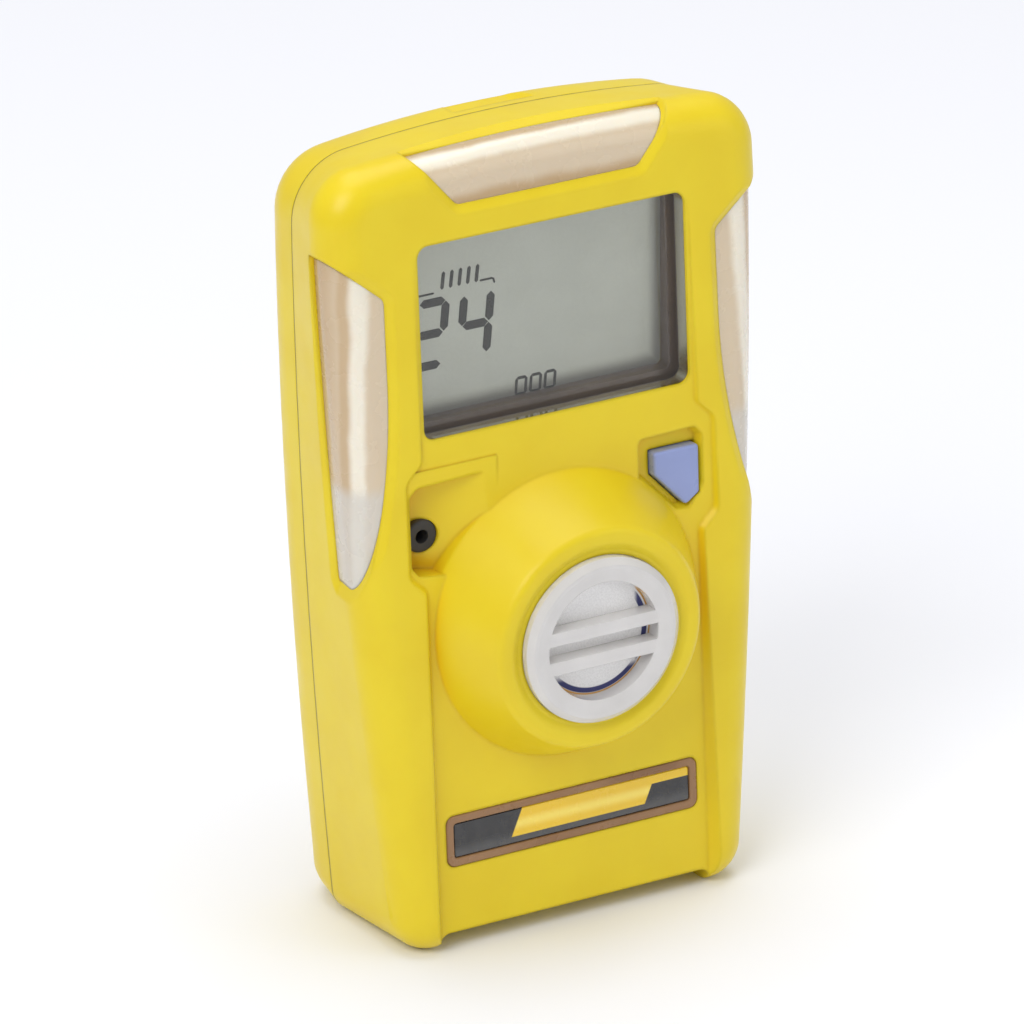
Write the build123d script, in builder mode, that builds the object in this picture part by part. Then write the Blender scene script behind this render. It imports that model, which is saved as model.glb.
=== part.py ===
from build123d import *
import math
import os

# Portable single-gas detector: a leaning two-part case with side and top alarm windows, a display,
# a domed sensor port, a push button, a rear spring clip and the electronics that make it work.
# Millimetres. +Z is up, the front faces -Y, X runs to the viewer's right, and the feet stand on Z = 0.

# ---------------------------------------------------------------- driving dimensions
HEIGHT = 87.0
SEAM_Y = 0.5                # parting plane of the two shells
BACK_Y = 9.4
FRONT_LOFT_Y = -17.0        # plane of the front loft section, ahead of the leaning face
WALL = 2.2

# half widths of the outline at shoulder, middle and foot, on three planes
SHOULDER_Z, MIDDLE_Z = 76.0, 42.0
TOP_SAG_HALF = 20.0
# half widths at shoulder, middle and foot, height, bow of the top at TOP_SAG_HALF, top and foot corner radii
SEAM_SECTION = (24.85, 23.95, 21.2, 87.0, 1.2, 7.0, 3.0)
FRONT_SECTION = (28.3, 24.8, 20.6, 88.2, 0.5, 2.6, 5.0)
BACK_SECTION = (24.4, 23.7, 20.8, 86.4, 2.0, 9.5, 7.0)
FRONT_ROUND = 3.8
BACK_ROUND = 6.8

# leaning planes of the front: y = y0 + slope * z
WING_Y0, WING_SLOPE = -15.54, 0.0722
PANEL_Y0, PANEL_SLOPE = -14.07, 0.0531
PANEL_HALF = 16.4           # half width of the recessed centre panel
PANEL_TOP_Z = 79.5
PANEL_BULGE_HALF = 18.35    # the panel widens around the button and the sounder port
BULGE_LOW_Z, BULGE_HIGH_Z = 42.6, 52.8
BULGE_RUN = 1.9
NOTCH_Z = 1.95
STEP_TAPER = 32.0

# alarm windows
WINDOW_RECESS = 0.6
WINDOW_THICK = 1.5
FRAME_TAPER = 58.0
GUIDE_THICK = 1.6

# display
LCD_HALF = 16.0
LCD_LOW_Z, LCD_HIGH_Z = 56.9, 78.0
LCD_CORNER = 1.3
LENS_DEPTH, LENS_THICK = 0.35, 1.2
LCD_FRONT_Y, LCD_THICK = -6.2, 1.9

# sensor dome
DOME_Z = 34.3
DOME_RIM_R, DOME_RIM_Y = 12.1, -19.5
DOME_SLOPE = 0.504          # radius gained per millimetre towards the case
DOME_INNER_Y = -9.4
DOME_SKIRT_R = 16.2
DOME_ROUND = 1.7
SLEEVE_R, SLEEVE_WALL = 10.4, 1.2
GRILLE_R, GRILLE_FRONT_Y = 9.2, -20.5
GRILLE_OPEN_R = 6.6
CELL_R, CELL_FRONT_Y = 10.1, -17.8

# board
PCB_FRONT_Y, PCB_THICK = -1.6, 1.2
PCB_BACK_Y = PCB_FRONT_Y + PCB_THICK

# button
BUTTON_TRAVEL = 0.6
BUTTON_GAP = 0.12

# rear clip
PIVOT_Y, PIVOT_Z = 14.9, 50.0
PIN_R = 1.2
CLIP_HALF = 6.6
EAR_THICK = 1.0
PLATE = 1.0

# case screws: x, z of the four positions
SCREWS = [(-19.6, 79.4), (19.6, 79.4), (-17.6, 24.0), (17.6, 24.0)]
SCREW_SEAT_Y = 4.6
SCREW_R, SCREW_HEAD_R = 1.1, 2.0


# ---------------------------------------------------------------- planes and helpers
def front_plane(y):
    """Vertical plane facing the front (-Y) at the given y."""
    return Plane.XZ.offset(-y)


def leaning_plane(y0, slope):
    """Front plane that leans back by the given slope; its local y runs up the slope."""
    return Plane(origin=(0, y0, 0), x_dir=(1, 0, 0), z_dir=(0, -1, slope))


WING_PLANE = leaning_plane(WING_Y0, WING_SLOPE)
PANEL_PLANE = leaning_plane(PANEL_Y0, PANEL_SLOPE)
SIDE_PLANE = Plane(origin=(-24.9, 0, 60), x_dir=(0, -1, 0), z_dir=(-1, 0, -0.062))


def panel_y(z):
    return PANEL_Y0 + PANEL_SLOPE * z


def case_outline(section, inset):
    """Front view of the case moved in by inset: sides that widen to the shoulders, under a bowed top."""
    shoulder, middle, foot, height, sag, top_corner, foot_corner = section
    shoulder, middle, foot, top = shoulder - inset, middle - inset, foot - inset, height - inset
    sag = sag * (shoulder / TOP_SAG_HALF) ** 2
    with BuildSketch() as outline:
        with BuildLine():
            right = ThreePointArc((foot, inset), (middle, MIDDLE_Z), (shoulder, SHOULDER_Z))
            end = right @ 1
            riser = Line(end, (end.X, top - sag))
            ThreePointArc(riser @ 1, (0, top), (-end.X, top - sag))
            Line((-end.X, top - sag), (-end.X, end.Y))
            ThreePointArc((-shoulder, SHOULDER_Z), (-middle, MIDDLE_Z), (-foot, inset))
            Line((-foot, inset), (foot, inset))
        make_face()
        fillet(outline.vertices().group_by(Axis.Y)[0], max(foot_corner - inset, 0.8))
        corners = [v for v in outline.vertices() if v.Y > SHOULDER_Z + 2]
        fillet(corners, min(max(top_corner - inset, 1.5), riser.length - 0.4))
    return outline.sketch


def front_form(inset):
    """Outer surface of the front shell moved in by inset, cut by the leaning front and rounded there."""
    seam_face = case_outline(SEAM_SECTION, inset)
    front_face = case_outline(FRONT_SECTION, inset)
    with BuildPart() as form:
        with BuildSketch(front_plane(SEAM_Y)):
            add(seam_face)
        with BuildSketch(front_plane(FRONT_LOFT_Y)):
            add(front_face)
        loft(ruled=True)
        split(bisect_by=WING_PLANE.offset(-inset), keep=Keep.BOTTOM)
        rim = form.faces().sort_by(Axis.Y)[0].edges()
        fillet(rim, max(FRONT_ROUND - inset, 1.0))
    return form.part


def rear_form(inset):
    """Outer surface of the rear shell moved in by inset, with a rounded back."""
    seam_face = case_outline(SEAM_SECTION, inset)
    back_face = case_outline(BACK_SECTION, inset)
    with BuildPart() as form:
        with BuildSketch(front_plane(SEAM_Y)):
            add(seam_face)
        with BuildSketch(front_plane(BACK_Y - inset)):
            add(back_face)
        loft(ruled=True)
        rim = form.faces().sort_by(Axis.Y)[-1].edges()
        fillet(rim, max(BACK_ROUND - inset, 1.0))
    return form.part


def panel_outline(grow):
    """Face of the recessed centre panel, widened around the button and the sounder port."""
    half, bulge = PANEL_HALF + grow, PANEL_BULGE_HALF + grow
    low, high = BULGE_LOW_Z - grow, BULGE_HIGH_Z + grow
    right = [(half, -2), (half, low - BULGE_RUN), (bulge, low), (bulge, high),
             (half, high + BULGE_RUN), (half, PANEL_TOP_Z)]
    with BuildSketch() as outline:
        Polygon(*right, *[(-x, z) for x, z in reversed(right)], align=None)
        bends = [v for v in outline.vertices() if low - 3 < v.Y < high + 3]
        fillet(bends, 1.2)
    return outline.sketch


def panel_cutter(depth, grow, height, taper):
    """Solid ahead of the centre panel, starting depth behind its face."""
    face = panel_outline(grow)
    with BuildPart() as cutter:
        with BuildSketch(PANEL_PLANE.offset(-depth)):
            add(face)
        extrude(amount=height, taper=-taper)
    return cutter.part


def prism(plane, face, taper):
    """Straight into the case from the plane, and out of it with a widening taper."""
    with BuildPart() as solid:
        with BuildSketch(plane) as base:
            add(face)
        extrude(amount=4, taper=-taper)
        extrude(base.sketch, amount=-9)
    return solid.part


def side_window_space(taper):
    """Left window opening: where its front view and its side view meet."""
    with BuildSketch() as front_view:
        with BuildLine():
            slant = Line((-28, 79.9), (-19.85, 73.1))
            edge = Line(slant @ 1, (-19.9, 64))
            curve = ThreePointArc(edge @ 1, (-21.0, 52), (-24.2, 40.4))
            Polyline(curve @ 1, (-28, 34), slant @ 0)
        make_face()
        fillet(front_view.vertices().sort_by(Axis.X)[-2:].sort_by(Axis.Y)[-1], 1.2)
    with BuildSketch() as side_view:
        Polygon((4.9, 22), (6.2, -18.4), (7.8, -20.4), (16, -20.4), (16, 22), align=None)
        fillet(side_view.vertices().sort_by(Axis.Y)[2], 0.8)
    with BuildPart() as space:
        add(prism(WING_PLANE.offset(-WINDOW_RECESS), front_view.sketch, taper))
        add(prism(SIDE_PLANE, side_view.sketch, taper), mode=Mode.INTERSECT)
    return space.part


def top_window_space(taper):
    """Top window opening: where its front view and its plan view meet."""
    with BuildSketch() as front_view:
        Polygon((-10.8, 81.65), (10.8, 81.65), (18.6, 90.9), (-18.6, 90.9), align=None)
        fillet(front_view.vertices().group_by(Axis.Y)[0], 1.0)
    with BuildSketch() as plan_view:
        with Locations((0, -12.7)):
            Rectangle(44, 14)
    with BuildPart() as space:
        add(prism(WING_PLANE.offset(-WINDOW_RECESS), front_view.sketch, taper))
        add(prism(Plane.XY.offset(HEIGHT - 0.4), plan_view.sketch, taper), mode=Mode.INTERSECT)
    return space.part


def cylinder_y(x, z, radius, y_low, y_high):
    """Cylinder along Y between two depths."""
    with BuildPart() as solid:
        with BuildSketch(front_plane(y_high)):
            with Locations((x, z)):
                Circle(radius)
        extrude(amount=y_high - y_low)
    return solid.part


def block(x_low, x_high, y_low, y_high, z_low, z_high):
    """Box between two corners."""
    with BuildPart() as solid:
        with BuildSketch(Plane.XY.offset(z_low)):
            with Locations(((x_low + x_high) / 2, (y_low + y_high) / 2)):
                Rectangle(x_high - x_low, y_high - y_low)
        extrude(amount=z_high - z_low)
    return solid.part


def revolve_about_dome(points):
    """Solid of revolution about the dome axis from (radius, y) points."""
    with BuildPart() as solid:
        with BuildSketch(Plane.XY.offset(DOME_Z)):
            Polygon(*points, align=None)
        revolve(axis=DOME_AXIS)
    return solid.part


DOME_AXIS = Axis((0, 0, DOME_Z), (0, 1, 0))
FLOOR_Z = 4.5               # inner floor of the case; the feet below it are solid
BUTTON_OUTLINE = [(11.35, 49.95), (16.8, 49.95), (16.75, 44.6), (15.3, 43.6), (14.9, 43.6), (11.35, 47.4)]
POCKET_OUTLINE = [(9.45, 51.8), (16.4, 52.0), (17.3, 51.0), (17.3, 45.4), (15.5, 43.0), (13.9, 43.1),
                  (9.4, 47.6)]
PORT_X, PORT_Z = -15.6, 45.65
PORT_RING_R, PORT_HOLE_R = 1.85, 0.75
LABEL_SIZE, LABEL_CORNER, LABEL_Z, LABEL_DEPTH = (30.7, 5.8), 1.0, 12.15, 0.7
LABEL_BORDER = 0.95
BATTERY_R, BATTERY_HALF, BATTERY_Y, BATTERY_Z = 7.25, 16.7, -1.6, 12.3
MOTOR_R, MOTOR_Y, MOTOR_Z = 2.0, 2.7, 70.0

# ---------------------------------------------------------------- shared cutters
side_opening = side_window_space(0)
side_bevel = side_window_space(FRAME_TAPER)
top_opening = top_window_space(0)
top_bevel = top_window_space(FRAME_TAPER)
recessed_form = front_form(WINDOW_RECESS)

with BuildPart() as foot_notch:
    with BuildSketch(front_plane(16)) as notch_face:
        Polygon((-17.0, -3), (-16.4, NOTCH_Z), (16.4, NOTCH_Z), (17.0, -3), align=None)
        fillet(notch_face.vertices().group_by(Axis.Y)[-1], 1.2)
    extrude(amount=36)

with BuildPart() as front_cavity:
    add(front_form(WALL))
    add(panel_cutter(WALL, WALL * 0.8, 6, 0), mode=Mode.SUBTRACT)
    split(bisect_by=Plane.XY.offset(FLOOR_Z), keep=Keep.TOP)

with BuildPart() as sounder_pocket:
    with BuildSketch(PANEL_PLANE.offset(1)) as pocket_face:
        Polygon((-8.8, 52.3), (-17.2, 52.1), (-18.1, 51.2), (-18.1, 43.4), (-17.2, 42.3), (-11.5, 41.6),
                (-8.8, 46), align=None)
        fillet(pocket_face.vertices(), 0.8)
    extrude(amount=-5)
    with BuildSketch(Plane.XY.offset(38)):
        Polygon((-8.3, -11.7), (-18.6, -7.9), (-18.6, -14), (-8.3, -14), align=None)
    extrude(amount=18, mode=Mode.INTERSECT)

# ---------------------------------------------------------------- front shell
with BuildPart() as front_shell:
    add(front_form(0))
    add(panel_cutter(0, 0, 1.75, STEP_TAPER), mode=Mode.SUBTRACT)
    add(front_cavity.part, mode=Mode.SUBTRACT)
    # window openings with bevelled frames, the right side as the mirror image of the left
    for bevel, opening in ((side_bevel, side_opening), (top_bevel, top_opening)):
        add(bevel - recessed_form, mode=Mode.SUBTRACT)
        add(opening, mode=Mode.SUBTRACT)
    split(bisect_by=Plane.YZ, keep=Keep.BOTTOM)
    mirror(about=Plane.YZ)
    # walls behind the pockets
    add(block(-20.2, -7.6, -11.4, -6.5, 40.6, 53.8))
    add(block(8.4, 18.8, -11.2, -8.8, 41.8, 53.2))
    # screw posts
    for x, z in SCREWS:
        add(cylinder_y(x, z, 2.0, panel_y(z) + 1, PCB_FRONT_Y))
    # pockets of the sounder port and of the button
    add(sounder_pocket.part, mode=Mode.SUBTRACT)
    with BuildSketch(PANEL_PLANE) as button_pocket:
        Polygon(*POCKET_OUTLINE, align=None)
        fillet(button_pocket.vertices(), 0.7)
    extrude(amount=-1.15, taper=22, mode=Mode.SUBTRACT)
    # dome with its sensor sleeve
    dome_base_y = DOME_RIM_Y + (DOME_SKIRT_R - DOME_RIM_R) / DOME_SLOPE
    with BuildSketch(Plane.XY.offset(DOME_Z)) as dome_profile:
        Polygon((0, DOME_INNER_Y), (DOME_SKIRT_R, DOME_INNER_Y), (DOME_SKIRT_R, dome_base_y),
                (DOME_RIM_R, DOME_RIM_Y), (10.6, DOME_RIM_Y), (9.9, DOME_RIM_Y + 0.35),
                (0, DOME_RIM_Y + 0.35), align=None)
        rim_corner = [v for v in dome_profile.vertices() if abs(v.X - DOME_RIM_R) < 0.01]
        fillet(rim_corner, DOME_ROUND * 0.5)
    revolve(axis=DOME_AXIS)
    inner_r = SLEEVE_R + SLEEVE_WALL
    gap_y = DOME_RIM_Y + (inner_r + 2.2 - DOME_RIM_R) / DOME_SLOPE
    add(revolve_about_dome([(inner_r, 0), (inner_r, gap_y), (DOME_SKIRT_R - 2, dome_base_y),
                            (DOME_SKIRT_R - 2, 0)]), mode=Mode.SUBTRACT)
    add(cylinder_y(0, DOME_Z, GRILLE_R + 0.05, -25, -5), mode=Mode.SUBTRACT)
    add(cylinder_y(0, DOME_Z, SLEEVE_R, -18.95, 0.6), mode=Mode.SUBTRACT)
    # display, label, button and port openings
    with BuildSketch(PANEL_PLANE.offset(1)):
        with Locations((0, (LCD_LOW_Z + LCD_HIGH_Z) / 2)):
            RectangleRounded(2 * LCD_HALF, LCD_HIGH_Z - LCD_LOW_Z, LCD_CORNER)
    extrude(amount=-5, mode=Mode.SUBTRACT)
    with BuildSketch(PANEL_PLANE):
        with Locations((0, LABEL_Z)):
            RectangleRounded(*LABEL_SIZE, LABEL_CORNER)
    extrude(amount=-LABEL_DEPTH, mode=Mode.SUBTRACT)
    with BuildSketch(PANEL_PLANE.offset(1)):
        Polygon(*BUTTON_OUTLINE, align=None)
        offset(amount=BUTTON_GAP)
    extrude(amount=-7, mode=Mode.SUBTRACT)
    add(cylinder_y(PORT_X, PORT_Z, PORT_RING_R, -14, -6), mode=Mode.SUBTRACT)
    # pilot holes and the space between the feet
    for x, z in SCREWS:
        add(cylinder_y(x, z, SCREW_R + 0.02, -6.6, 1), mode=Mode.SUBTRACT)
    add(foot_notch.part, mode=Mode.SUBTRACT)
front_shell.part.label = "front_shell"

# ---------------------------------------------------------------- rear shell
SEAL_OUTER, SEAL_INNER, SEAL_DEPTH = 0.75, 1.5, 0.9


def seal_ring(outer, inner, depth):
    """Ring along the parting line, straight across above the feet."""
    outer_face = case_outline(SEAM_SECTION, outer)
    inner_face = case_outline(SEAM_SECTION, inner)
    with BuildPart() as ring:
        with BuildSketch(front_plane(SEAM_Y + depth)):
            add(outer_face)
        extrude(amount=depth)
        split(bisect_by=Plane.XY.offset(NOTCH_Z + outer), keep=Keep.TOP)
    with BuildPart() as core:
        with BuildSketch(front_plane(SEAM_Y + depth)):
            add(inner_face)
        extrude(amount=depth)
        split(bisect_by=Plane.XY.offset(NOTCH_Z + inner), keep=Keep.TOP)
    return ring.part - core.part


with BuildPart() as rear_cavity:
    add(rear_form(WALL))
    split(bisect_by=Plane.XY.offset(FLOOR_Z), keep=Keep.TOP)

CLIP_SCREWS_Z = (30.0, 57.5)
with BuildPart() as rear_shell:
    add(rear_form(0))
    add(rear_cavity.part, mode=Mode.SUBTRACT)
    for x, z in SCREWS:
        add(cylinder_y(x, z, 2.9, SEAM_Y + 0.1, BACK_Y - 1))
        add(cylinder_y(x, z, 2.0, PCB_BACK_Y, SEAM_Y + 1))
    # the screw bosses end flush with the rounded back
    add(rear_form(0), mode=Mode.INTERSECT)
    for z in CLIP_SCREWS_Z:
        add(cylinder_y(0, z, 2.7, 4.3, BACK_Y - 1))
        add(cylinder_y(0, z, SCREW_R + 0.02, 4.6, BACK_Y + 1), mode=Mode.SUBTRACT)
    for x, z in SCREWS:
        add(cylinder_y(x, z, SCREW_R + 0.15, -1, BACK_Y + 1), mode=Mode.SUBTRACT)
        add(cylinder_y(x, z, SCREW_HEAD_R + 0.15, SCREW_SEAT_Y, BACK_Y + 1), mode=Mode.SUBTRACT)
    add(seal_ring(SEAL_OUTER - 0.03, SEAL_INNER + 0.03, SEAL_DEPTH), mode=Mode.SUBTRACT)
    # finger recess in the top edge
    with BuildSketch(front_plane(BACK_Y + 1)) as finger_face:
        Polygon((-6.4, 88), (-3.6, 85.85), (3.6, 85.85), (6.4, 88), align=None)
        fillet(finger_face.vertices().group_by(Axis.Y)[0], 0.8)
    extrude(amount=BACK_Y - 0.9, mode=Mode.SUBTRACT)
    add(foot_notch.part, mode=Mode.SUBTRACT)
rear_shell.part.label = "rear_shell"

with BuildPart() as case_seal:
    add(seal_ring(SEAL_OUTER, SEAL_INNER, SEAL_DEPTH))
case_seal.part.label = "case_seal"


def screw(x, z, seat_y, head_r, head_h, length):
    """Pan-head screw along Y with a cross recess; the head sits behind seat_y."""
    with BuildPart() as body:
        add(cylinder_y(x, z, SCREW_R, seat_y - length, seat_y + 0.2))
        add(cylinder_y(x, z, head_r, seat_y, seat_y + head_h))
        fillet(body.edges().filter_by(GeomType.CIRCLE).sort_by(Axis.Y)[-1], head_h * 0.45)
        for angle in (0, 90):
            with BuildSketch(front_plane(seat_y + head_h)):
                with Locations(Location((x, z), angle)):
                    Rectangle(head_r * 1.2, 0.45)
            extrude(amount=head_h * 0.55, mode=Mode.SUBTRACT)
    return body.part


with BuildPart() as case_screws:
    for x, z in SCREWS:
        add(screw(x, z, SCREW_SEAT_Y, SCREW_HEAD_R, 1.2, 10.1))
case_screws.part.label = "case_screws"


# ---------------------------------------------------------------- alarm windows and light guides
def window_skin(inset, thick, space):
    """Curved plate that follows the case, inside the given space."""
    with BuildPart() as skin:
        add(front_form(inset))
        add(front_form(inset + thick), mode=Mode.SUBTRACT)
        add(space, mode=Mode.INTERSECT)
    return skin.part


with BuildPart() as left_light_window:
    add(window_skin(WINDOW_RECESS, WINDOW_THICK, side_opening))
left_light_window.part.label = "left_light_window"

with BuildPart() as right_light_window:
    add(mirror(left_light_window.part, about=Plane.YZ))
right_light_window.part.label = "right_light_window"

with BuildPart() as top_light_window:
    add(window_skin(WINDOW_RECESS, WINDOW_THICK, top_opening))
top_light_window.part.label = "top_light_window"

GUIDE_LOW_Z = 51.5
with BuildPart() as left_light_guide:
    add(window_skin(WALL + 0.1, GUIDE_THICK, side_opening))
    split(bisect_by=Plane.XY.offset(GUIDE_LOW_Z), keep=Keep.TOP)
    split(bisect_by=Plane.XY.offset(75.8), keep=Keep.BOTTOM)
left_light_guide.part.label = "left_light_guide"

with BuildPart() as right_light_guide:
    add(mirror(left_light_guide.part, about=Plane.YZ))
right_light_guide.part.label = "right_light_guide"

with BuildPart() as top_light_guide:
    add(window_skin(WALL + 0.1, GUIDE_THICK, top_opening))
top_light_guide.part.label = "top_light_guide"

# ---------------------------------------------------------------- display
LCD_MID_Z = (LCD_LOW_Z + LCD_HIGH_Z) / 2
LCD_HEIGHT = LCD_HIGH_Z - LCD_LOW_Z
LENS_FLANGE_DEPTH = WALL + 0.05
with BuildPart() as display_lens:
    with BuildSketch(PANEL_PLANE.offset(-LENS_DEPTH)):
        with Locations((0, LCD_MID_Z)):
            RectangleRounded(2 * LCD_HALF - 0.1, LCD_HEIGHT - 0.1, LCD_CORNER)
    extrude(amount=LENS_DEPTH - LENS_FLANGE_DEPTH)
    with BuildSketch(PANEL_PLANE.offset(-LENS_FLANGE_DEPTH)):
        with Locations((0, LCD_MID_Z)):
            RectangleRounded(2 * LCD_HALF + 2.2, LCD_HEIGHT + 2.2, LCD_CORNER + 1)
    extrude(amount=-0.8)
display_lens.part.label = "display_lens"

FRAME_PLANE = PANEL_PLANE.offset(-LENS_FLANGE_DEPTH - 0.85)
with BuildPart() as display_frame:
    with BuildSketch(front_plane(LCD_FRONT_Y)):
        with Locations((0, LCD_MID_Z)):
            RectangleRounded(35.0, 24.4, 1.2)
            RectangleRounded(30.6, 19.8, 0.6, mode=Mode.SUBTRACT)
    extrude(amount=5)
    split(bisect_by=FRAME_PLANE, keep=Keep.BOTTOM)
display_frame.part.label = "display_frame"

with BuildPart() as lcd_glass:
    with BuildSketch(front_plane(LCD_FRONT_Y + LCD_THICK)):
        with Locations((0, LCD_MID_Z)):
            Rectangle(35.0, 24.2)
    extrude(amount=LCD_THICK - 0.02)
lcd_glass.part.label = "lcd_glass"

BACKLIGHT_Y = LCD_FRONT_Y + LCD_THICK
with BuildPart() as lcd_backlight:
    with BuildSketch(front_plane(BACKLIGHT_Y + 0.9)):
        with Locations((0, LCD_MID_Z)):
            Rectangle(34.4, 19.6)
    extrude(amount=0.88)
lcd_backlight.part.label = "lcd_backlight"

with BuildPart() as lcd_connectors:
    for z in (LCD_MID_Z - 11.2, LCD_MID_Z + 11.2):
        add(block(-16.5, 16.5, BACKLIGHT_Y + 0.02, PCB_FRONT_Y - 0.02, z - 0.8, z + 0.8))
lcd_connectors.part.label = "lcd_connectors"

# ---------------------------------------------------------------- board and its parts
board_face = case_outline(SEAM_SECTION, 3.0)
PCB_LOW_Z = 21.4
PIN_SPOTS = [(0, DOME_Z + 5.6), (-4.9, DOME_Z - 2.8), (4.9, DOME_Z - 2.8)]
with BuildPart() as main_board:
    with BuildSketch(front_plane(PCB_BACK_Y)):
        add(board_face)
        with Locations(*SCREWS):
            Circle(SCREW_R + 0.3, mode=Mode.SUBTRACT)
        with Locations(*PIN_SPOTS):
            Circle(0.85, mode=Mode.SUBTRACT)
    extrude(amount=PCB_THICK)
    split(bisect_by=Plane.XY.offset(PCB_LOW_Z), keep=Keep.TOP)
main_board.part.label = "main_board"

CHIPS = [(-7, 60, 7.0, 7.0, 1.0), (8.5, 58, 5.0, 4.4, 1.1), (-9, 74, 4.4, 3.0, 1.3),
         (11, 38, 6.2, 5.0, 1.2), (-12, 31, 4.6, 3.6, 2.0), (-3, 48.5, 3.2, 1.6, 1.1)]
with BuildPart() as board_chips:
    for x, z, width, height, thick in CHIPS:
        add(block(x - width / 2, x + width / 2, PCB_BACK_Y, PCB_BACK_Y + thick,
                  z - height / 2, z + height / 2))
board_chips.part.label = "board_chips"

LED_SPOTS = [(side * 20.1, z) for side in (-1, 1) for z in (57.0, 69.5)] + [(-7, 82.0), (7, 82.0)]
with BuildPart() as alarm_leds:
    for x, z in LED_SPOTS:
        add(block(x - 1.4, x + 1.4, PCB_FRONT_Y - 1.9, PCB_FRONT_Y, z - 1.2, z + 1.2))
        add(cylinder_y(x, z, 1.0, PCB_FRONT_Y - 2.3, PCB_FRONT_Y - 1.8))
alarm_leds.part.label = "alarm_leds"

# ---------------------------------------------------------------- push button
BUTTON_X, BUTTON_Z = 14.1, 46.9
FLANGE_PLANE = PANEL_PLANE.offset(-3.12)
PLUNGER_Y = -6.9
with BuildPart() as push_button:
    with BuildSketch(PANEL_PLANE.offset(-3.5)) as button_face:
        Polygon(*BUTTON_OUTLINE, align=None)
        fillet(button_face.vertices(), 0.4)
    extrude(amount=3.55)
    fillet(push_button.faces().sort_by(Axis.Y)[0].edges(), 0.3)
    with BuildSketch(FLANGE_PLANE) as flange_face:
        Polygon(*BUTTON_OUTLINE, align=None)
        offset(amount=0.6)
    extrude(amount=-0.7)
    add(cylinder_y(BUTTON_X, BUTTON_Z, 1.4, -9, PLUNGER_Y))
push_button.part.label = "push_button"

with BuildPart() as button_seal:
    with BuildSketch(FLANGE_PLANE) as button_seal_face:
        Polygon(*BUTTON_OUTLINE, align=None)
        offset(amount=1.5)
    extrude(amount=-1.2)
    with BuildSketch(FLANGE_PLANE.offset(1)) as button_seal_hole:
        Polygon(*BUTTON_OUTLINE, align=None)
        offset(amount=0.75)
    extrude(amount=-4, mode=Mode.SUBTRACT)
button_seal.part.label = "button_seal"

with BuildPart() as button_switch:
    add(block(BUTTON_X - 3, BUTTON_X + 3, -5.1, PCB_FRONT_Y, BUTTON_Z - 3, BUTTON_Z + 3))
    add(cylinder_y(BUTTON_X, BUTTON_Z, 1.65, -6, -3.6), mode=Mode.SUBTRACT)
button_switch.part.label = "button_switch"

with BuildPart() as switch_plunger:
    add(cylinder_y(BUTTON_X, BUTTON_Z, 1.6, PLUNGER_Y, -4.3))
switch_plunger.part.label = "switch_plunger"

# ---------------------------------------------------------------- sounder
with BuildPart() as sounder:
    add(cylinder_y(PORT_X, PORT_Z, 4.8, -6.4, PCB_FRONT_Y))
    add(cylinder_y(PORT_X, PORT_Z, 1.0, -8, -5.0), mode=Mode.SUBTRACT)
sounder.part.label = "sounder"

with BuildPart() as sounder_ring:
    add(cylinder_y(PORT_X, PORT_Z, PORT_RING_R, -9.5, -6.5))
    fillet(sounder_ring.edges().sort_by(Axis.Y)[0], 0.35)
    add(cylinder_y(PORT_X, PORT_Z, PORT_HOLE_R, -12, -6), mode=Mode.SUBTRACT)
sounder_ring.part.label = "sounder_ring"

# ---------------------------------------------------------------- gas sensor
BAR_Z, BAR_HALF = (1.35, -1.95), 0.75
with BuildPart() as sensor_grille:
    with BuildSketch(Plane.XY.offset(DOME_Z)):
        Polygon((0, -18.35), (10.2, -18.35), (10.2, -18.9), (GRILLE_R, -18.9), (GRILLE_R, -19.9),
                (8.5, GRILLE_FRONT_Y), (8.1, GRILLE_FRONT_Y), (GRILLE_OPEN_R, -20.15), (0, -20.15),
                align=None)
    revolve(axis=DOME_AXIS)
    with BuildSketch(front_plane(-15)):
        with Locations((0, DOME_Z)):
            Circle(GRILLE_OPEN_R)
        with Locations(*[(0, DOME_Z + z) for z in BAR_Z]):
            Rectangle(20, 2 * BAR_HALF, mode=Mode.SUBTRACT)
    extrude(amount=10, mode=Mode.SUBTRACT)
sensor_grille.part.label = "sensor_grille"

with BuildPart() as sensor_filter:
    add(cylinder_y(0, DOME_Z, 9.8, -18.33, -18.12))
sensor_filter.part.label = "sensor_filter"

with BuildPart() as sensor_gasket:
    add(cylinder_y(0, DOME_Z, 10.1, -18.1, CELL_FRONT_Y))
    add(cylinder_y(0, DOME_Z, 8.8, -19, -17), mode=Mode.SUBTRACT)
sensor_gasket.part.label = "sensor_gasket"

with BuildPart() as sensor_cell:
    add(cylinder_y(0, DOME_Z, CELL_R, CELL_FRONT_Y + 0.02, PCB_FRONT_Y - 0.02))
    fillet(sensor_cell.edges().filter_by(GeomType.CIRCLE), 0.5)
    add(cylinder_y(0, DOME_Z, 3.2, -19, CELL_FRONT_Y + 0.6), mode=Mode.SUBTRACT)
sensor_cell.part.label = "sensor_cell"

with BuildPart() as sensor_pins:
    for x, z in PIN_SPOTS:
        add(cylinder_y(x, z, 0.75, PCB_FRONT_Y, 1.4))
sensor_pins.part.label = "sensor_pins"

# ---------------------------------------------------------------- battery
with BuildPart() as battery_cell:
    with BuildSketch(Plane.YZ.offset(-BATTERY_HALF)):
        with Locations((BATTERY_Y, BATTERY_Z)):
            Circle(BATTERY_R)
    extrude(amount=2 * BATTERY_HALF - 0.8)
    fillet(battery_cell.edges().filter_by(GeomType.CIRCLE), 0.6)
    with BuildSketch(Plane.YZ.offset(BATTERY_HALF - 0.8)):
        with Locations((BATTERY_Y, BATTERY_Z)):
            Circle(2.4)
    extrude(amount=0.8)
battery_cell.part.label = "battery_cell"

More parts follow.
